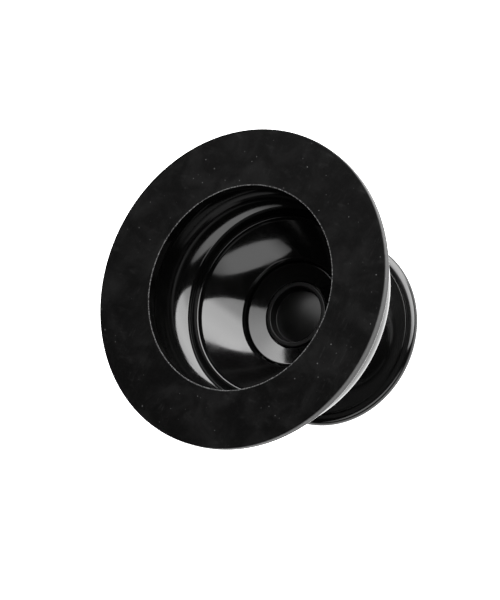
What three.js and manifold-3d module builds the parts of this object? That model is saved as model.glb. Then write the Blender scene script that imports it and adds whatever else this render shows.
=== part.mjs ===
// Sink stopper for the drain of a kitchen garbage disposer: a flat rubber seal ring under a hollow
// bell, with a neck and a round grip. Units are millimetres.
//
// Every piece is turned about Z. The stopper stands on the flat end of its grip at z = 0, and the
// seal face, which meets the drain in use, is the plane z = HEIGHT. Outlines are lists of
// [radius, depth] points, where depth runs from the seal face towards the grip.
import * as THREE from "three";
import { mergeVertices } from "three/addons/utils/BufferGeometryUtils.js";
import Module from "manifold-3d";

const wasm = await Module();
wasm.setup();

// ---------- driving dimensions ----------

const HEIGHT = 57;
const GAP = 0.3; // clearance between pieces that touch
const ROUND_SIDES = 48; // facets round the large pieces
const SMALL_SIDES = 24; // facets round the screw, washer, insert and O-ring

const SEAL = { outer: 43, inner: 27.5, thickness: 2.6, edge: 0.5, back: 0.4 };
// A rib on the seal's back sits in a groove of the flange and holds the ring.
const RIB = { inner: 37.8, outer: 39.8, height: 0.9 };
const FLANGE = { outer: 42, thickness: 1.8, fillet: 3 };
const BELL = {
  outer: 36.3, // at the shoulder
  taper: 0.6, // how much wider it is under the flange
  shoulder: 8, // rounding between the wall and the sloping floor
  shoulderDepth: 17.4, // where the wall and the floor would meet without it
  bowl: 15, // radius of the inner wall's sweep
  lip: 26.6, // radius where the sweep ends, above the dish
  lipDepth: 19.3,
  lipTilt: 34, // slope of the sweep there, in degrees
  ledge: 21.9, // depth of the step that the dish sits on
};
const DISH = {
  land: 20, // depth of the flat rim
  bead: 24.5, // radius of the raised bead's centre line
  beadSize: 0.45,
  outerDepth: 20.7,
  inner: 15.1,
  innerDepth: 28,
  sag: 0.45, // how far the dish bows away from a straight cone
  wall: 1.8, // along the axis
};
const HUB = {
  head: 14.3,
  rimDepth: 29.5,
  floorDepth: 30.85,
  headBack: 33.2,
  tube: 10,
  bore: 8.3,
  end: 48,
  endWall: 3.8,
};
const CAP_LIP = { outer: 9.05, inner: 7.8, crest: 30.6, back: 31.6 };
const CAP_CUP = { outer: 8, floor: 33, dome: 0.9, wall: 1.3 };
const O_RING = { size: 0.9, seat: 12.4, seatDepth: 35.7 };
const NECK = { outer: 13.2, root: 16.8, rootDepth: 34.2, end: 44.3 };
const GRIP_RIM = { outer: 26.5, size: 1.35, depth: 50.45 };
const GRIP_FACE = { depth: 50.3, wall: 1.5, ridge: 23.3, ridgeHeight: 0.4, ridgeHalf: 0.25 };
const GRIP_BOSS = { outer: 7.5, end: 54.6 };
const GRIP_SPIGOT = { inner: 20.9, outer: 22.3, end: 53 };
const END_CAP = { outer: 24.5, flat: 17, wall: 1.6 };
const SCREW = { head: 4.2, headDepth: 40, headHeight: 2.6, shank: 2.4, tip: 54.2 };
const RECESS = { span: 4.6, slot: 1, depth: 1.4 };
const WASHER = { outer: 5, thickness: 1 };
const INSERT = { outer: 3.6, start: 48.7, end: 54.3 };

const FLANGE_FRONT = SEAL.thickness + GAP;
const FLANGE_BACK = FLANGE_FRONT + FLANGE.thickness;
const SCREW_HOLE = SCREW.shank + GAP;

// ---------- materials ----------

const finish = (color, roughness, metalness = 0) =>
  new THREE.MeshStandardMaterial({ color, roughness, metalness });
const RUBBER = finish(0x1c1c1c, 0.75);
const GLOSS_BLACK = finish(0x050505, 0.15);
const STEEL = finish(0xb4b6b8, 0.35, 1);
const BRASS = finish(0xb08d4a, 0.4, 1);

// ---------- outline helpers ----------

// Points of an arc; angles in degrees from +radius towards +depth.
function arc(radius, depth, size, from, to, steps) {
  return Array.from({ length: steps + 1 }, (_, i) => {
    const angle = THREE.MathUtils.degToRad(from + ((to - from) * i) / steps);
    return [radius + size * Math.cos(angle), depth + size * Math.sin(angle)];
  });
}

// Points between two ends of a line, bowed sideways in depth by sag at the middle.
function bow([r0, d0], [r1, d1], sag, steps) {
  return Array.from({ length: steps + 1 }, (_, i) => {
    const t = i / steps;
    return [r0 + (r1 - r0) * t, d0 + (d1 - d0) * t + 4 * sag * t * (1 - t)];
  });
}

// A turned geometry from an outline. An outline that touches the axis starts and ends there, and
// any other one is closed here. It is put in the order that makes the faces point out.
function turned(outline, sides = ROUND_SIDES) {
  const points = outline.map(([radius, depth]) => new THREE.Vector2(radius, HEIGHT - depth));
  if (!(points[0].x === 0 && points.at(-1).x === 0)) points.push(points[0].clone());
  if (THREE.ShapeUtils.area(points) < 0) points.reverse();
  const geometry = new THREE.LatheGeometry(points, sides);
  geometry.rotateX(Math.PI / 2);
  return geometry;
}

function piece(name, geometry, material) {
  const mesh = new THREE.Mesh(geometry, material.clone());
  mesh.name = name;
  return mesh;
}

// ---------- booleans ----------

function toSolid(geometry) {
  const bare = new THREE.BufferGeometry();
  const source = geometry.index ? geometry.toNonIndexed() : geometry;
  bare.setAttribute("position", source.getAttribute("position").clone());
  const merged = mergeVertices(bare, 1e-3);
  return new wasm.Manifold(
    new wasm.Mesh({
      numProp: 3,
      vertProperties: merged.getAttribute("position").array,
      triVerts: new Uint32Array(merged.index.array),
    }),
  );
}

function toGeometry(solid) {
  const mesh = solid.getMesh();
  const geometry = new THREE.BufferGeometry();
  geometry.setAttribute("position", new THREE.BufferAttribute(mesh.vertProperties, 3));
  geometry.setIndex(new THREE.BufferAttribute(mesh.triVerts, 1));
  return geometry;
}

// ---------- pieces ----------

function sealRing() {
  const { outer, inner, thickness, edge, back } = SEAL;
  return turned([
    [inner, 0],
    ...arc(outer - edge, edge, edge, -90, 0, 3),
    ...arc(outer - back, thickness - back, back, 0, 90, 2),
    [RIB.outer, thickness],
    [RIB.outer, thickness + RIB.height],
    [RIB.inner, thickness + RIB.height],
    [RIB.inner, thickness],
    [inner, thickness],
  ]);
}

// Flange, tapered wall, sloping floor and neck sleeve in one moulding.
function bellBody() {
  const edge = FLANGE.thickness / 2;
  const fillet = BELL.outer + BELL.taper + FLANGE.fillet;
  const grooveDepth = FLANGE_FRONT + RIB.height;
  const slope = Math.atan2(BELL.outer - NECK.root, NECK.rootDepth - BELL.shoulderDepth);
  const shoulderStart = BELL.shoulderDepth - BELL.shoulder * Math.tan(slope / 2);
  const turn = THREE.MathUtils.radToDeg(slope);
  const floor = dishBack(GAP);
  const wall = bowlWall();
  return turned([
    [wall[0][0], FLANGE_FRONT],
    [RIB.inner - GAP, FLANGE_FRONT],
    [RIB.inner - GAP, grooveDepth + GAP / 2],
    [RIB.outer + GAP, grooveDepth + GAP / 2],
    [RIB.outer + GAP, FLANGE_FRONT],
    ...arc(FLANGE.outer - edge, FLANGE_FRONT + edge, edge, -90, 90, 4),
    ...arc(fillet, FLANGE_BACK + FLANGE.fillet, FLANGE.fillet, 270, 180, 3),
    ...arc(BELL.outer - BELL.shoulder, shoulderStart, BELL.shoulder, 0, turn, 4),
    [NECK.root, NECK.rootDepth],
    ...neckCurve(),
    [NECK.outer, NECK.end],
    [HUB.tube + GAP, NECK.end],
    [HUB.tube + GAP, O_RING.seatDepth],
    [O_RING.seat, O_RING.seatDepth],
    [O_RING.seat, HUB.headBack + GAP],
    [HUB.head + GAP, HUB.headBack + GAP],
    floor.at(-1),
    floor[0],
    [BELL.lip, BELL.ledge],
    ...wall.reverse(),
  ]);
}

// The bowl's inner wall from its widest point down to its lip above the dish.
function bowlWall() {
  const tilt = THREE.MathUtils.degToRad(BELL.lipTilt);
  const radius = BELL.lip - BELL.bowl * Math.sin(tilt);
  const depth = BELL.lipDepth - BELL.bowl * Math.cos(tilt);
  return arc(radius, depth, BELL.bowl, 0, 90 - BELL.lipTilt, 8);
}

// The concave sweep from the bell's floor into the straight neck, without its two ends.
function neckCurve() {
  const sweep = new THREE.QuadraticBezierCurve(
    new THREE.Vector2(NECK.root, NECK.rootDepth),
    new THREE.Vector2(NECK.outer, NECK.rootDepth + (NECK.root - NECK.outer)),
    new THREE.Vector2(NECK.outer, NECK.end - GAP),
  );
  return sweep
    .getPoints(4)
    .slice(1, -1)
    .map(({ x, y }) => [x, y]);
}

// The dish's back face from its rim to its inner edge, moved back by a clearance.
function dishBack(clearance) {
  const rim = [DISH.bead - DISH.beadSize, DISH.outerDepth + DISH.wall + clearance * Math.SQRT2];
  const hole = [HUB.head + 2 * GAP, DISH.innerDepth + DISH.wall + 0.8 + clearance * Math.SQRT2];
  return [rim, hole];
}

function innerDish() {
  const { land, bead, beadSize, outerDepth, inner, innerDepth, sag } = DISH;
  const rim = BELL.lip - GAP;
  return turned([
    [rim, land],
    ...arc(bead, land + beadSize / 2, beadSize, 330, 210, 3),
    ...bow([bead - beadSize, outerDepth], [inner, innerDepth], sag, 4),
    [HUB.head + GAP, innerDepth + 0.5],
    [HUB.head + GAP, dishBack(0)[1][1]],
    dishBack(0)[0],
    [rim, BELL.ledge - GAP],
  ]);
}

// Flanged tube that runs down the neck. Its closed end takes the screw.
function neckHub() {
  const mouth = CAP_LIP.outer + GAP;
  const edge = 0.4;
  return turned([
    [mouth, HUB.floorDepth],
    [HUB.head - edge, HUB.rimDepth],
    [HUB.head, HUB.rimDepth + edge],
    [HUB.head, HUB.headBack],
    [HUB.tube, HUB.headBack],
    [HUB.tube, HUB.end],
    [SCREW_HOLE, HUB.end],
    [SCREW_HOLE, HUB.end - HUB.endWall],
    [HUB.bore, HUB.end - HUB.endWall],
    [HUB.bore, CAP_LIP.back + GAP],
    [mouth, CAP_LIP.back + GAP],
  ]);
}

function hubORing() {
  const centre = HUB.tube + 0.2 + O_RING.size;
  const depth = HUB.headBack + 0.4 + O_RING.size;
  return turned(arc(centre, depth, O_RING.size, 0, 315, 7), SMALL_SIDES * 2);
}

// Cup that closes the hub's mouth, with a rounded lip and a faintly domed floor.
function centreCap() {
  const lipMiddle = (CAP_LIP.outer + CAP_LIP.inner) / 2;
  const wallFoot = CAP_LIP.inner - 0.3;
  return turned([
    [0, CAP_CUP.floor - CAP_CUP.dome],
    [wallFoot * 0.7, CAP_CUP.floor - CAP_CUP.dome / 2],
    [wallFoot, CAP_CUP.floor],
    [CAP_LIP.inner, CAP_LIP.crest + 0.4],
    [lipMiddle - 0.3, CAP_LIP.crest],
    [lipMiddle + 0.3, CAP_LIP.crest],
    [CAP_LIP.outer, CAP_LIP.crest + 0.4],
    [CAP_LIP.outer, CAP_LIP.back],
    [CAP_CUP.outer, CAP_LIP.back],
    [CAP_CUP.outer, CAP_CUP.floor + CAP_CUP.wall],
    [0, CAP_CUP.floor + CAP_CUP.wall],
  ]);
}

// Collar, dished face, ridge and rolled rim, with a spigot for the end cap and a boss for the insert.
function gripDisc() {
  const { size, depth } = GRIP_RIM;
  const rim = GRIP_RIM.outer - size;
  const { ridge, ridgeHeight, ridgeHalf } = GRIP_FACE;
  const back = GRIP_FACE.depth + GRIP_FACE.wall;
  const collar = NECK.end + GAP;
  const sweep = new THREE.QuadraticBezierCurve(
    new THREE.Vector2(NECK.outer, collar + 0.6),
    new THREE.Vector2(NECK.outer, GRIP_FACE.depth),
    new THREE.Vector2(NECK.outer + 5.5, GRIP_FACE.depth),
  );
  return turned([
    [HUB.tube + GAP, collar],
    [NECK.outer, collar],
    ...sweep.getPoints(4).map(({ x, y }) => [x, y]),
    [ridge - ridgeHalf, GRIP_FACE.depth],
    [ridge, GRIP_FACE.depth - ridgeHeight],
    [ridge + ridgeHalf, GRIP_FACE.depth],
    ...arc(rim, depth, size, 190, 450, 9),
    [GRIP_SPIGOT.outer, back],
    [GRIP_SPIGOT.outer, GRIP_SPIGOT.end],
    [GRIP_SPIGOT.inner, GRIP_SPIGOT.end],
    [GRIP_SPIGOT.inner, back],
    [GRIP_BOSS.outer, back],
    [GRIP_BOSS.outer, GRIP_BOSS.end],
    [INSERT.outer + GAP, GRIP_BOSS.end],
    [INSERT.outer + GAP, HUB.end + GAP],
    [HUB.tube + GAP, HUB.end + GAP],
  ]);
}

// Domed shell that closes the grip. The stopper stands on its flat end.
function gripEndCap() {
  const edge = GRIP_RIM.depth + GRIP_RIM.size + GAP;
  const skirt = GRIP_SPIGOT.outer + GAP;
  const dome = new THREE.CubicBezierCurve(
    new THREE.Vector2(END_CAP.outer, edge),
    new THREE.Vector2(END_CAP.outer - 0.2, edge + 2.6),
    new THREE.Vector2(END_CAP.flat + 4.5, HEIGHT),
    new THREE.Vector2(END_CAP.flat, HEIGHT),
  );
  return turned([
    [0, HEIGHT],
    ...dome
      .getPoints(5)
      .reverse()
      .map(({ x, y }) => [x, y]),
    [skirt, edge],
    [skirt, GRIP_SPIGOT.end + GAP],
    [END_CAP.flat + 1.5, HEIGHT - END_CAP.wall - 0.2],
    [END_CAP.flat - 1, HEIGHT - END_CAP.wall],
    [0, HEIGHT - END_CAP.wall],
  ]);
}

// Pan-head screw with a cross recess. The thread is left out: its shank is a plain rod.
function screw() {
  const { head, headDepth, headHeight, shank, tip } = SCREW;
  const body = turned(
    [
      [0, headDepth],
      [head - 1.4, headDepth],
      [head - 0.3, headDepth + 0.8],
      [head, headDepth + 1.6],
      [head, headDepth + headHeight],
      [shank, headDepth + headHeight],
      [shank, tip - 0.8],
      [shank - 0.8, tip],
      [0, tip],
    ],
    SMALL_SIDES,
  );
  const height = 2 * RECESS.depth;
  const across = new THREE.BoxGeometry(RECESS.span, RECESS.slot, height);
  const along = new THREE.BoxGeometry(RECESS.slot, RECESS.span, height);
  const slots = toSolid(across).add(toSolid(along));
  return toGeometry(toSolid(body).subtract(slots.translate([0, 0, HEIGHT - headDepth])));
}

function screwWasher() {
  const start = SCREW.headDepth + SCREW.headHeight + GAP;
  const end = start + WASHER.thickness;
  const outline = [
    [SCREW_HOLE, start],
    [WASHER.outer, start],
    [WASHER.outer, end],
    [SCREW_HOLE, end],
  ];
  return turned(outline, SMALL_SIDES);
}

// Brass sleeve with two ring grooves that lock it in the grip's boss.
function threadedInsert() {
  const { outer, start, end } = INSERT;
  const groove = outer - 0.5;
  const step = (end - start) / 5;
  return turned(
    [
      [SCREW_HOLE, start],
      [outer, start],
      [outer, start + step],
      [groove, start + step],
      [groove, start + 2 * step],
      [outer, start + 2 * step],
      [outer, start + 3 * step],
      [groove, start + 3 * step],
      [groove, start + 4 * step],
      [outer, start + 4 * step],
      [outer, end],
      [SCREW_HOLE, end],
    ],
    SMALL_SIDES,
  );
}

// ---------- assembly ----------

const stopper = new THREE.Group();
stopper.add(
  piece("seal_ring", sealRing(), RUBBER),
  piece("bell_body", bellBody(), GLOSS_BLACK),
  piece("inner_dish", innerDish(), GLOSS_BLACK),
  piece("neck_hub", neckHub(), GLOSS_BLACK),
  piece("hub_o_ring", hubORing(), RUBBER),
  piece("centre_cap", centreCap(), GLOSS_BLACK),
  piece("screw", screw(), STEEL),
  piece("screw_washer", screwWasher(), STEEL),
  piece("threaded_insert", threadedInsert(), BRASS),
  piece("grip_disc", gripDisc(), GLOSS_BLACK),
  piece("grip_end_cap", gripEndCap(), GLOSS_BLACK),
);

export default stopper;
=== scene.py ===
"""Sink stopper for a kitchen garbage disposer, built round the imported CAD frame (metres, +Z up).

The stopper stands on its grip with its open underside up. Outlines are lists of
(radius, depth, rounding) corners in millimetres; depth runs down from the seal face.
"""
import math
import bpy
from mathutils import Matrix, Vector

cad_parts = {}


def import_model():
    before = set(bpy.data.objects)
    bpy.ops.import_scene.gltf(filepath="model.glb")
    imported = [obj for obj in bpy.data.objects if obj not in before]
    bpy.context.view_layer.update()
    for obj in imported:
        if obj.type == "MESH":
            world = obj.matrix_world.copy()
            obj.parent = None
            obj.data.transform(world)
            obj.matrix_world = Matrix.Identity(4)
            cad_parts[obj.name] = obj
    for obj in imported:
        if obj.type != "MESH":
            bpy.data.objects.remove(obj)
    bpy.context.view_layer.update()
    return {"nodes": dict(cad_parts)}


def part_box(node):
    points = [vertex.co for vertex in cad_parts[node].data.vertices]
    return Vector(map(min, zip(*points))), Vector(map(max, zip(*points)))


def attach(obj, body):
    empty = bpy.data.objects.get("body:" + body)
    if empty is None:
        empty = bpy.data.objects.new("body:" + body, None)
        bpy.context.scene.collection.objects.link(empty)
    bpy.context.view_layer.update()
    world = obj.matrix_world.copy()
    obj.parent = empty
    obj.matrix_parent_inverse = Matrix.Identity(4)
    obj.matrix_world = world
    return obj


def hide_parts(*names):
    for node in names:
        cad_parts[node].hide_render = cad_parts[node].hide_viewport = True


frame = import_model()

from types import SimpleNamespace as Sizes

import bmesh
import bpy
from mathutils import Matrix, Vector

MM = 0.001


def edge(node, axis, high=True):
    """A face of a CAD node's box, in millimetres."""
    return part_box(node)[1 if high else 0][axis] / MM


# ---------- sizes read from the frame, in millimetres ----------

TOP = edge("seal_ring", 2)                        # height of the seal face
SEAL_R = edge("seal_ring", 0)
FLANGE_R = edge("bell_body", 0)
FLANGE_FRONT = TOP - edge("bell_body", 2)
NECK_END = TOP - edge("bell_body", 2, high=False)
COLLAR = TOP - edge("grip_disc", 2)
RIM_R = edge("grip_disc", 0)
DISH_R = edge("inner_dish", 0)
HEAD_R = edge("neck_hub", 0)
HUB_END = TOP - edge("neck_hub", 2, high=False)
CAP_LIP_R = edge("centre_cap", 0)
END_CAP_R = edge("grip_end_cap", 0)
END_CAP_EDGE = TOP - edge("grip_end_cap", 2)

# ---------- sizes that only the looks need, in millimetres ----------

SEAL = Sizes(hole=27.5, thickness=2.6, draft=0.15, hole_round=0.12, face_round=0.35, back_round=0.6)

FLANGE = Sizes(thickness=1.8, round=0.85)

BOWL = Sizes(
    size=15.0,                                    # radius of the wall's curve
    foot=26.6, foot_depth=19.3, foot_tilt=34,     # where the curve meets the ledge, and its slope there
    steps=24,
)

SHELL = Sizes(
    wall=36.9, wall_round=3.0,                    # outside of the bell under its flange
    shoulder=36.3, shoulder_depth=17.4, shoulder_round=8.0,
    waist=16.8, waist_depth=34.2, neck_depth=38.5, neck_round=5.0,
    ledge_depth=21.9,
    floor=24.2, floor_depth=22.9,
)

NECK = Sizes(outer=13.2, inner=10.3)

SEAT = Sizes(outer=14.6, top=30.6, depth=33.5)    # the pocket in the bell that holds the hub's head

DISH = Sizes(
    rim_depth=20.0, rim_back=21.6,
    bead=24.5, bead_depth=20.22, bead_size=0.45,
    groove=24.05, groove_depth=20.75,
    outer=23.75, outer_depth=21.2, outer_round=0.6,
    inner=15.1, inner_depth=28.0, sag=0.45,
    hole=14.6, hole_depth=28.6, back=24.0, back_depth=22.5,
)

HUB = Sizes(
    mouth=9.35, mouth_depth=30.85, mouth_end=31.9,
    head_depth=29.4, head_round=0.35, head_back=33.2,
    tube=10.0, bore=8.3, screw=2.7, base=3.8,
)

CAP = Sizes(
    lip=7.75, lip_depth=30.6, lip_back=31.6, lip_round=0.25,
    floor=7.2, floor_depth=33.0, dome=0.9,
    cup=8.0, cup_depth=34.3,
)

GRIP = Sizes(
    face_depth=50.3, foot_round=5.0,
    ridge=23.25, ridge_depth=49.85, ridge_half=0.35, ridge_round=0.25,
    rim_inner=23.8, rim_shoulder=24.0, rim_shoulder_depth=49.35,
    rim_crest=24.2, rim_widest=50.75, rim_height=1.55, rim_under=1.05,
    back=51.8, spigot_outer=22.3, spigot_inner=20.9, spigot_end=53.0,
    boss=7.5, boss_end=54.6, insert=3.9, insert_depth=48.3,
)

END_CAP = Sizes(
    flat=19.5, flat_round=6.0, side_depth=54.0, side_round=2.5,
    inner=22.6, inner_depth=53.3, inner_round=0.5,
    crown=18.0, crown_depth=55.4, crown_round=2.0,
)

# Roundings of moulded edges, from the sharpest to the softest.
HAIR = 0.05
CRISP = 0.1
FINE = 0.15
EASED = 0.2
SOFT = 0.3

SIDES = 192
SUPPORT = 0.12                                    # distance of the extra loops beside a rounding
ARC_STEP = 9                                      # degrees between the points of a rounding
LARGEST_SHARE = 0.49                              # how much of an edge one rounding may take up
STRAIGHT = 0.01                                   # radians; a flatter corner is left as it is
ON_AXIS = 1e-9                                    # metres


# ---------- turned meshes ----------

def rounded(corners):
    """Replaces each corner that has a rounding by an arc, and adds loops that keep flats flat."""
    out = []
    count = len(corners)
    closed = corners[0][0] > 0
    for i, (r, d, size) in enumerate(corners):
        here = Vector((r, d))
        if not closed and i in (0, count - 1):
            out.append(here)
            continue
        before = Vector(corners[i - 1][:2])
        after = Vector(corners[(i + 1) % count][:2])
        to_before, to_after = before - here, after - here
        half = to_before.angle(to_after) / 2
        if size <= 0 or abs(half - math.pi / 2) < STRAIGHT:
            out.append(here)
            continue
        back = min(size / math.tan(half), LARGEST_SHARE * to_before.length, LARGEST_SHARE * to_after.length)
        size = back * math.tan(half)
        a = here + to_before.normalized() * back
        b = here + to_after.normalized() * back
        middle = here + (to_before.normalized() + to_after.normalized()).normalized() * (
            size / math.sin(half))
        turn = math.pi - 2 * half
        steps = max(3, round(math.degrees(turn) / ARC_STEP))
        start, end = a - middle, b - middle
        if to_before.length > back + 3 * SUPPORT:
            out.append(a + to_before.normalized() * SUPPORT)
        for k in range(steps + 1):
            t = k / steps
            mixed = (start * math.sin((1 - t) * turn) + end * math.sin(t * turn)) / math.sin(turn)
            out.append(middle + mixed)
        if to_after.length > back + 3 * SUPPORT:
            out.append(b + to_after.normalized() * SUPPORT)
    return out


def turned(name, outline, material):
    """Turns an outline of (radius, depth) points about Z into one closed smooth mesh object."""
    points = [(p[0] * MM, (TOP - p[1]) * MM) for p in outline]
    area = sum(r0 * z1 - r1 * z0 for (r0, z0), (r1, z1) in zip(points, points[1:] + points[:1]))
    if area < 0:
        points.reverse()
    mesh = bmesh.new()
    rows = []
    for r, z in points:
        if r < ON_AXIS:
            rows.append([mesh.verts.new((0, 0, z))])
            continue
        angles = (2 * math.pi * k / SIDES for k in range(SIDES))
        rows.append([mesh.verts.new((r * math.cos(a), r * math.sin(a), z)) for a in angles])
    on_axis = points[0][0] < ON_AXIS and points[-1][0] < ON_AXIS
    pairs = zip(rows, rows[1:]) if on_axis else zip(rows, rows[1:] + rows[:1])
    for low, high in pairs:
        for k in range(SIDES):
            ring = [low[k % len(low)], low[(k + 1) % SIDES % len(low)],
                    high[(k + 1) % SIDES % len(high)], high[k % len(high)]]
            face = list(dict.fromkeys(ring))
            if len(face) > 2:
                mesh.faces.new(face)
    data = bpy.data.meshes.new(name)
    mesh.to_mesh(data)
    mesh.free()
    data.shade_smooth()
    data.materials.append(material)
    piece = bpy.data.objects.new(name, data)
    bpy.context.scene.collection.objects.link(piece)
    return piece


def arc(radius, depth, size, start, end, steps):
    """Points of a round stretch about (radius, depth), with angles in degrees from the radius."""
    angles = [math.radians(start + (end - start) * k / steps) for k in range(steps + 1)]
    return [(radius + size * math.cos(a), depth + size * math.sin(a), 0) for a in angles]


# ---------- materials ----------

class Surface:
    """A Principled material with short calls for the nodes that vary it over the surface."""

    def __init__(self, name, colour, roughness, **constants):
        self.material = bpy.data.materials.new(name)
        self.material.use_nodes = True
        self.tree = self.material.node_tree
        self.shader = self.tree.nodes["Principled BSDF"]
        self.shader.inputs["Base Color"].default_value = (*colour, 1)
        self.shader.inputs["Roughness"].default_value = roughness
        for key, value in constants.items():
            self.shader.inputs[key.replace("_", " ")].default_value = value
        where = self.node("ShaderNodeTexCoord").outputs["Object"]
        self.place = self.vector("SCALE", where, Scale=1 / MM)          # millimetres
        self.radius = self.vector("LENGTH", self.vector("MULTIPLY", self.place, (1, 1, 0)))

    def node(self, kind, **settings):
        item = self.tree.nodes.new(kind)
        for key, value in settings.items():
            setattr(item, key, value)
        return item

    def feed(self, socket, value):
        if isinstance(value, bpy.types.NodeSocket):
            self.tree.links.new(value, socket)
        else:
            socket.default_value = value

    def vector(self, operation, *values, **named):
        item = self.node("ShaderNodeVectorMath", operation=operation)
        for socket, value in zip(item.inputs, values):
            self.feed(socket, value)
        for key, value in named.items():
            self.feed(item.inputs[key], value)
        return item.outputs["Value" if operation == "LENGTH" else "Vector"]

    def math(self, operation, *values):
        item = self.node("ShaderNodeMath", operation=operation)
        for socket, value in zip(item.inputs, values):
            self.feed(socket, value)
        return item.outputs[0]

    def remap(self, value, low, high, to_low=0.0, to_high=1.0):
        """A smooth step of a value from one range to another."""
        item = self.node("ShaderNodeMapRange", interpolation_type="SMOOTHSTEP")
        for key, given in zip(("Value", "From Min", "From Max", "To Min", "To Max"),
                              (value, low, high, to_low, to_high)):
            self.feed(item.inputs[key], given)
        return item.outputs["Result"]

    def noise(self, size, detail=3.0, roughness=0.55, stretch=(1, 1, 1), distortion=0.0):
        """Noise from 0 to 1 whose largest features are about size millimetres."""
        item = self.node("ShaderNodeTexNoise")
        self.feed(item.inputs["Vector"], self.vector("MULTIPLY", self.place, stretch))
        self.feed(item.inputs["Scale"], 1 / size)
        self.feed(item.inputs["Detail"], detail)
        self.feed(item.inputs["Roughness"], roughness)
        self.feed(item.inputs["Distortion"], distortion)
        return item.outputs["Fac"]

    def specks(self, spacing, size, share):
        """Small dots of up to size millimetres in about a share of the cells of a grid."""
        item = self.node("ShaderNodeTexVoronoi")
        self.feed(item.inputs["Vector"], self.place)
        self.feed(item.inputs["Scale"], 1 / spacing)
        tone = self.node("ShaderNodeSeparateColor")
        self.feed(tone.inputs[0], item.outputs["Color"])
        reach = self.remap(tone.outputs[0], 1 - share, 1, 0.0, size / spacing)
        return self.math("MULTIPLY", self.remap(item.outputs["Distance"], 0.0, reach, 1.0, 0.0),
                         self.remap(tone.outputs[1], 0.0, 1.0, 0.25, 1.0))

    def total(self, *terms):
        """The sum of (value, weight) pairs."""
        result = 0.0
        for value, weight in terms:
            result = self.math("MULTIPLY_ADD", value, weight, result)
        return result

    def grey(self, value):
        item = self.node("ShaderNodeCombineColor")
        for socket in item.inputs:
            self.feed(socket, value)
        self.feed(self.shader.inputs["Base Color"], item.outputs[0])

    def vary_roughness(self, value):
        self.feed(self.shader.inputs["Roughness"], value)

    def bump(self, height, depth, strength=1.0):
        """Relief of up to depth millimetres."""
        item = self.node("ShaderNodeBump")
        self.feed(item.inputs["Height"], height)
        self.feed(item.inputs["Distance"], depth * MM)
        self.feed(item.inputs["Strength"], strength)
        self.feed(self.shader.inputs["Normal"], item.outputs[0])


def rubber():
    """Moulded black rubber: cloudy face, grain, dust, a rubbed and frayed hole edge, a few scuffs, and a
    lighter outer edge that is partly dust and partly a painted highlight.
    """
    face = Surface("rubber", (0.002, 0.002, 0.002), 0.5, Specular_IOR_Level=0.05)
    cloud = face.remap(face.noise(9, 6, 0.6, distortion=0.6), 0.38, 0.72)
    smudge = face.remap(face.noise(2.2, 5, 0.65, stretch=(1, 0.45, 1)), 0.55, 0.8)
    scuff = face.math("MULTIPLY", face.remap(face.noise(0.9, 3, 0.7, stretch=(0.25, 1.6, 1)), 0.58, 0.74),
                      face.remap(face.noise(14, 2, 0.5), 0.5, 0.62))
    dust = face.specks(1.5, 0.26, 0.5)
    mottle = face.remap(face.noise(1.1, 5, 0.7), 0.5, 0.8)
    lint = face.specks(4.3, 0.35, 0.4)
    frayed = face.remap(face.noise(0.5, 4, 0.7), 0.35, 0.7)
    inside = face.remap(face.radius, SEAL.hole, SEAL.hole + 0.06)
    outside = face.remap(face.radius, SEAL.hole + 0.06, SEAL.hole + 0.4, 1.0, 0.0)
    hole_edge = face.math("MULTIPLY", face.math("MULTIPLY", inside, outside), frayed)
    # rim: lighter base colour at the outer edge, partly dust and partly a painted highlight standing in for
    # the bright edge reflection
    rim = face.remap(face.radius, SEAL_R - 0.25, SEAL_R - 0.05)
    # the rim term adds a painted highlight to the colour along the outer edge, as well as dust
    face.grey(face.total((cloud, 0.0026), (smudge, 0.004), (scuff, 0.004), (dust, 0.08), (lint, 0.08),
                         (hole_edge, 0.13), (rim, 0.045), (mottle, 0.0015)))
    face.vary_roughness(face.total((cloud, 0.08), (rim, -0.1), (smudge, 0.06), (frayed, 0.04), (1.0, 0.45)))
    grain = face.noise(0.35, 4, 0.6)
    face.bump(face.total((grain, 0.35), (cloud, 0.4), (dust, 0.5), (scuff, -0.3)), 0.05, 0.6)
    return face.material


def gloss(name, base_roughness=0.08, level=0.5):
    """Polished black plastic with a slight orange peel, hairline marks and a little dust."""
    shell = Surface(name, (0.0022, 0.0023, 0.0024), base_roughness, IOR=1.5, Specular_IOR_Level=level)
    haze = shell.remap(shell.noise(6, 4, 0.6), 0.4, 0.75)
    hair = shell.remap(shell.noise(0.35, 2, 0.6, stretch=(0.12, 1, 1)), 0.66, 0.76)
    dust = shell.specks(2.4, 0.16, 0.35)
    shell.grey(shell.total((haze, 0.0008), (dust, 0.03), (hair, 0.0012), (1.0, 0.0016)))
    shell.vary_roughness(shell.total((haze, 0.05), (hair, 0.05), (dust, 0.4), (1.0, base_roughness)))
    shell.bump(shell.total((shell.noise(3, 2, 0.5), 0.7), (dust, 0.3)), 0.012, 0.5)
    return shell.material


def o_ring_rubber():
    """Black nitrile rubber with a little bloom."""
    cord = Surface("o_ring_rubber", (0.01, 0.01, 0.01), 0.5, Specular_IOR_Level=0.3)
    bloom = cord.remap(cord.noise(1.5, 4, 0.6), 0.4, 0.75)
    cord.grey(cord.total((bloom, 0.012), (1.0, 0.008)))
    cord.vary_roughness(cord.total((bloom, 0.15), (1.0, 0.45)))
    cord.bump(cord.noise(0.3, 3, 0.6), 0.02, 0.4)
    return cord.material


def metal(name, colour, base_roughness):
    """Turned metal with fine tool marks and a few duller patches."""
    bare = Surface(name, colour, base_roughness, Metallic=1.0)
    patches = bare.remap(bare.noise(2.5, 4, 0.6), 0.4, 0.7)
    marks = bare.noise(0.25, 2, 0.6, stretch=(0.2, 0.2, 2.5))
    bare.vary_roughness(bare.total((patches, 0.14), (marks, 0.08), (1.0, base_roughness)))
    bare.bump(marks, 0.01, 0.4)
    return bare.material


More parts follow.
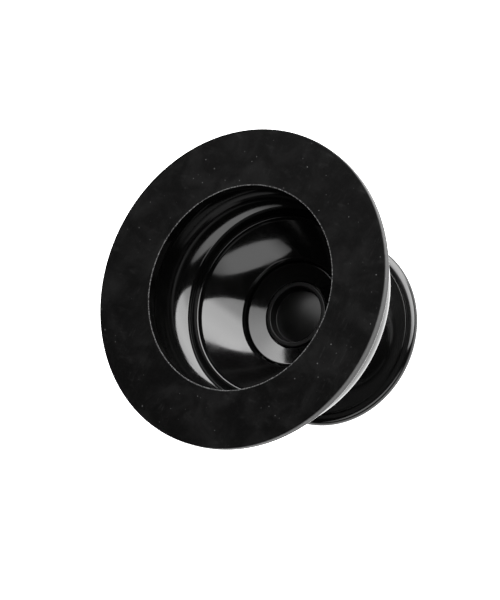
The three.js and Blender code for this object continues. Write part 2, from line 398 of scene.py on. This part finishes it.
RUBBER = rubber()
GLOSS = gloss("gloss_black")
SATIN = gloss("satin_black", 0.3, 0.22)
O_RING = o_ring_rubber()
STEEL = metal("steel", (0.6, 0.6, 0.62), 0.25)
BRASS = metal("brass", (0.78, 0.6, 0.3), 0.25)


# ---------- pieces ----------

def place(piece, slot, *nodes):
    """Puts a piece in the place of its CAD nodes, on the one body; the slot argument is not used."""
    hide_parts(*nodes)
    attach(piece, "root")
    return piece


def coat(material, *nodes):
    """Gives CAD nodes that are carried over as they are their material."""
    for name in nodes:
        for slot in frame["nodes"][name].material_slots:
            slot.material = material


def seal_ring():
    outline = rounded([
        (SEAL.hole, 0, SEAL.hole_round),
        (SEAL_R, 0, SEAL.face_round),
        (SEAL_R - SEAL.draft, SEAL.thickness, SEAL.back_round),
        (SEAL.hole, SEAL.thickness, FINE),
    ])
    return place(turned("seal_ring_rubber", outline, RUBBER), "rubber", "seal_ring")


def bell_body():
    tilt = math.radians(BOWL.foot_tilt)
    bowl = arc(BOWL.foot - BOWL.size * math.sin(tilt), BOWL.foot_depth - BOWL.size * math.cos(tilt),
               BOWL.size, 0, 90 - BOWL.foot_tilt, BOWL.steps)
    flange_back = FLANGE_FRONT + FLANGE.thickness
    outline = rounded([
        (bowl[0][0], FLANGE_FRONT, SOFT),
        (FLANGE_R, FLANGE_FRONT, FLANGE.round),
        (FLANGE_R, flange_back, FLANGE.round),
        (SHELL.wall, flange_back, SHELL.wall_round),
        (SHELL.shoulder, SHELL.shoulder_depth, SHELL.shoulder_round),
        (SHELL.waist, SHELL.waist_depth, SHELL.neck_round),
        (NECK.outer, SHELL.neck_depth, SHELL.neck_round),
        (NECK.outer, NECK_END, SOFT),
        (NECK.inner, NECK_END, EASED),
        (NECK.inner, SEAT.depth, EASED),
        (SEAT.outer, SEAT.depth, EASED),
        (SEAT.outer, SEAT.top, EASED),
        (SHELL.floor, SHELL.floor_depth, SOFT),
        (BOWL.foot, SHELL.ledge_depth, EASED),
        *reversed(bowl),
    ])
    return place(turned("bell_gloss", outline, GLOSS), "gloss_black", "bell_body")


def dish_front(t):
    """A point of the dish's sagging front face, at a share t of the way from its outer edge in."""
    radius = DISH.outer + (DISH.inner - DISH.outer) * t
    depth = DISH.outer_depth + (DISH.inner_depth - DISH.outer_depth) * t
    return radius, depth + 4 * DISH.sag * t * (1 - t), 0


def inner_dish():
    outline = rounded([
        (DISH_R, DISH.rim_back, CRISP),
        (DISH_R, DISH.rim_depth, CRISP),
        *arc(DISH.bead, DISH.bead_depth, DISH.bead_size, -35, -150, 10),
        (DISH.groove, DISH.groove_depth, CRISP),
        (DISH.outer, DISH.outer_depth, DISH.outer_round),
        *[dish_front(k / 20) for k in range(1, 20)],
        (DISH.inner, DISH.inner_depth, FINE),
        (DISH.hole, DISH.hole_depth, CRISP),
        (DISH.hole, SEAT.top, CRISP),
        (DISH.back, DISH.back_depth, EASED),
    ])
    return place(turned("dish_gloss", outline, GLOSS), "gloss_black", "inner_dish")


def neck_hub():
    outline = rounded([
        (HUB.mouth, HUB.mouth_depth, CRISP),
        (HEAD_R, HUB.head_depth, HUB.head_round),
        (HEAD_R, HUB.head_back, EASED),
        (HUB.tube, HUB.head_back, CRISP),
        (HUB.tube, HUB_END, SOFT),
        (HUB.screw, HUB_END, CRISP),
        (HUB.screw, HUB_END - HUB.base, CRISP),
        (HUB.bore, HUB_END - HUB.base, SOFT),
        (HUB.bore, HUB.mouth_end, CRISP),
        (HUB.mouth, HUB.mouth_end, CRISP),
    ])
    return place(turned("hub_gloss", outline, GLOSS), "gloss_black", "neck_hub")


def centre_cap():
    shares = [k / 12 for k in range(12)]
    outline = rounded([
        *[(CAP.floor * t, CAP.floor_depth - CAP.dome * (1 - t * t), 0) for t in shares],
        (CAP.floor, CAP.floor_depth, FINE),
        (CAP.lip, CAP.lip_depth, CAP.lip_round),
        (CAP_LIP_R, CAP.lip_depth, SOFT),
        (CAP_LIP_R, CAP.lip_back, CRISP),
        (CAP.cup, CAP.lip_back, CRISP),
        (CAP.cup, CAP.cup_depth, SOFT),
        (0, CAP.cup_depth, 0),
    ])
    return place(turned("cap_gloss", outline, SATIN), "gloss_black", "centre_cap")


def grip_rim():
    """The rim's rounded shoulder, which falls away outwards, and its underside."""
    angles = [math.radians(6 * k) for k in range(15)]
    reach = RIM_R - GRIP.rim_crest
    shoulder = [(GRIP.rim_crest + reach * math.sin(a), GRIP.rim_widest - GRIP.rim_height * math.cos(a), 0)
                for a in angles]
    return shoulder + arc(RIM_R - GRIP.rim_under, GRIP.rim_widest, GRIP.rim_under, 0, 85, 10)


def grip_disc():
    outline = rounded([
        (NECK.inner, COLLAR, EASED),
        (NECK.outer, COLLAR, SOFT),
        (NECK.outer, GRIP.face_depth, GRIP.foot_round),
        (GRIP.ridge - GRIP.ridge_half, GRIP.face_depth, CRISP),
        (GRIP.ridge, GRIP.ridge_depth, GRIP.ridge_round),
        (GRIP.ridge + GRIP.ridge_half, GRIP.face_depth, HAIR),
        (GRIP.rim_inner, GRIP.face_depth, HAIR),
        (GRIP.rim_shoulder, GRIP.rim_shoulder_depth, EASED),
        *grip_rim(),
        (GRIP.spigot_outer, GRIP.back, CRISP),
        (GRIP.spigot_outer, GRIP.spigot_end, CRISP),
        (GRIP.spigot_inner, GRIP.spigot_end, CRISP),
        (GRIP.spigot_inner, GRIP.back, CRISP),
        (GRIP.boss, GRIP.back, SOFT),
        (GRIP.boss, GRIP.boss_end, EASED),
        (GRIP.insert, GRIP.boss_end, CRISP),
        (GRIP.insert, GRIP.insert_depth, CRISP),
        (NECK.inner, GRIP.insert_depth, EASED),
    ])
    return place(turned("grip_gloss", outline, GLOSS), "gloss_black", "grip_disc")


def grip_end_cap():
    outline = rounded([
        (0, TOP, 0),
        (END_CAP.flat, TOP, END_CAP.flat_round),
        (END_CAP_R, END_CAP.side_depth, END_CAP.side_round),
        (END_CAP_R, END_CAP_EDGE, EASED),
        (END_CAP.inner, END_CAP_EDGE, CRISP),
        (END_CAP.inner, END_CAP.inner_depth, END_CAP.inner_round),
        (END_CAP.crown, END_CAP.crown_depth, END_CAP.crown_round),
        (0, END_CAP.crown_depth, 0),
    ])
    return place(turned("grip_cap_gloss", outline, GLOSS), "gloss_black", "grip_end_cap")


# ---------- studio ----------

SEAL_CENTRE = Vector((0, 0, TOP * MM))            # the camera and the lights are placed from here
CAMERA = Sizes(tilt=33.309, roll=64.518, distance=0.7822, aside=-0.00293, above=0.0034)
FLOOR_HALF = 12.0
FLOOR_GLOW = 2.0                                  # makes the floor render white
HORIZON = Sizes(height=0.12, glow=1.6)            # height is the Z of the direction looked in
OVERHEAD = Sizes(height=0.35, glow=0.01)


def camera():
    """Looks at the seal face, tilted from above it and turned round the line of sight."""
    data = bpy.data.cameras.new("camera")
    data.sensor_width = 36
    data.lens = 180
    data.clip_start = 0.01
    data.clip_end = 50
    item = bpy.data.objects.new("camera", data)
    bpy.context.scene.collection.objects.link(item)
    upright = Matrix.Rotation(math.radians(CAMERA.tilt), 3, "X")
    turn = upright @ Matrix.Rotation(math.radians(-CAMERA.roll), 3, "Z")
    offset = Vector((-CAMERA.aside, -CAMERA.above, CAMERA.distance))
    item.matrix_world = Matrix.Translation(SEAL_CENTRE + turn @ offset) @ turn.to_4x4()
    bpy.context.scene.camera = item


def fade_across(data, centre, across, fade):
    """Makes a light's radiance follow (position, share) pairs along the direction across."""
    data.use_nodes = True
    nodes = data.node_tree.nodes
    links = data.node_tree.links
    where = nodes.new("ShaderNodeNewGeometry")
    offset = nodes.new("ShaderNodeVectorMath")
    offset.operation = "SUBTRACT"
    offset.inputs[1].default_value = centre
    along = nodes.new("ShaderNodeVectorMath")
    along.operation = "DOT_PRODUCT"
    along.inputs[1].default_value = across / data.size
    shift = nodes.new("ShaderNodeMath")
    shift.inputs[1].default_value = 0.5
    ramp = nodes.new("ShaderNodeValToRGB")
    ramp.color_ramp.interpolation = "EASE"
    links.new(where.outputs["Position"], offset.inputs[0])
    links.new(offset.outputs["Vector"], along.inputs[0])
    links.new(along.outputs["Value"], shift.inputs[0])
    links.new(shift.outputs[0], ramp.inputs[0])
    links.new(ramp.outputs[0], nodes["Emission"].inputs["Strength"])
    stops = ramp.color_ramp.elements
    while len(stops) < len(fade):
        stops.new(0.5)
    for stop, (position, share) in zip(stops, fade):
        stop.position = position
        stop.color = (share, share, share, 1)


def area_light(name, position, aim, spin, size, radiance, fade):
    """A soft flat oval light, turned by spin degrees about its own axis. Places are in metres."""
    centre = SEAL_CENTRE + Vector(position)
    away = (Vector(position) - Vector(aim)).normalized()
    turn = away.to_track_quat("Z", "Y").to_matrix() @ Matrix.Rotation(math.radians(spin), 3, "Z")
    data = bpy.data.lights.new(name, "AREA")
    data.shape = "ELLIPSE"
    data.size, data.size_y = size
    area = math.pi / 4 * size[0] * size[1]
    data.energy = radiance * math.pi * area
    fade_across(data, centre, turn.col[0], fade)
    item = bpy.data.objects.new(name, data)
    bpy.context.scene.collection.objects.link(item)
    item.matrix_world = Matrix.Translation(centre) @ turn.to_4x4()


def floor():
    data = bpy.data.meshes.new("floor")
    corners = [(x * FLOOR_HALF, y * FLOOR_HALF, 0) for x, y in ((-1, -1), (1, -1), (1, 1), (-1, 1))]
    data.from_pydata(corners, [], [(0, 1, 2, 3)])
    material = bpy.data.materials.new("floor")
    material.use_nodes = True
    shader = material.node_tree.nodes["Principled BSDF"]
    shader.inputs["Base Color"].default_value = (0.3, 0.3, 0.3, 1)
    shader.inputs["Roughness"].default_value = 0.9
    shader.inputs["Specular IOR Level"].default_value = 0.0
    shader.inputs["Emission Color"].default_value = (1, 1, 1, 1)
    shader.inputs["Emission Strength"].default_value = FLOOR_GLOW
    data.materials.append(material)
    item = bpy.data.objects.new("floor", data)
    bpy.context.scene.collection.objects.link(item)


def world():
    """A studio that is bright round the horizon and almost black overhead."""
    scene = bpy.context.scene
    scene.world = bpy.data.worlds.new("studio")
    scene.world.use_nodes = True
    nodes = scene.world.node_tree.nodes
    links = scene.world.node_tree.links
    where = nodes.new("ShaderNodeTexCoord")
    split = nodes.new("ShaderNodeSeparateXYZ")
    ramp = nodes.new("ShaderNodeValToRGB")
    links.new(where.outputs["Generated"], split.inputs[0])
    links.new(split.outputs["Z"], ramp.inputs[0])
    links.new(ramp.outputs[0], nodes["Background"].inputs[0])
    for stop, level in zip(ramp.color_ramp.elements, (HORIZON, OVERHEAD)):
        stop.position = level.height
        stop.color = (level.glow, level.glow, level.glow, 1)
    nodes["Background"].inputs[1].default_value = 1.0
    scene.view_settings.view_transform = "Standard"


camera()
floor()
world()
# The key is a large oval overhead on the +X side, the fill a dim narrow one overhead on the -X side,
# and the side light a low one at +X.
area_light("key", position=(1.12, 0.05, 0.8), aim=(1.12, 0.05, 0), spin=180,
           size=(2.04, 2.6), radiance=12.0,
           fade=[(0.0, 0.33), (0.13, 0.46), (0.25, 0.8), (0.5, 0.9), (0.8, 0.8), (1.0, 0.5)])
area_light("fill", position=(-0.75, -0.5, 0.8), aim=(-0.75, -0.5, 0), spin=-46,
           size=(2.0, 0.56), radiance=2.8,
           fade=[(0.0, 0.6), (0.25, 1.0), (0.6, 1.0), (1.0, 0.3)])
area_light("side", position=(1.15, 0.12, 0.22), aim=(0, 0, 0), spin=0,
           size=(1.0, 0.45), radiance=9.0,
           fade=[(0.0, 0.3), (0.25, 1.0), (0.75, 1.0), (1.0, 0.5)])

coat(O_RING, "hub_o_ring")
coat(STEEL, "screw", "screw_washer")
coat(BRASS, "threaded_insert")
seal_ring()
bell_body()
inner_dish()
neck_hub()
centre_cap()
grip_disc()
grip_end_cap()
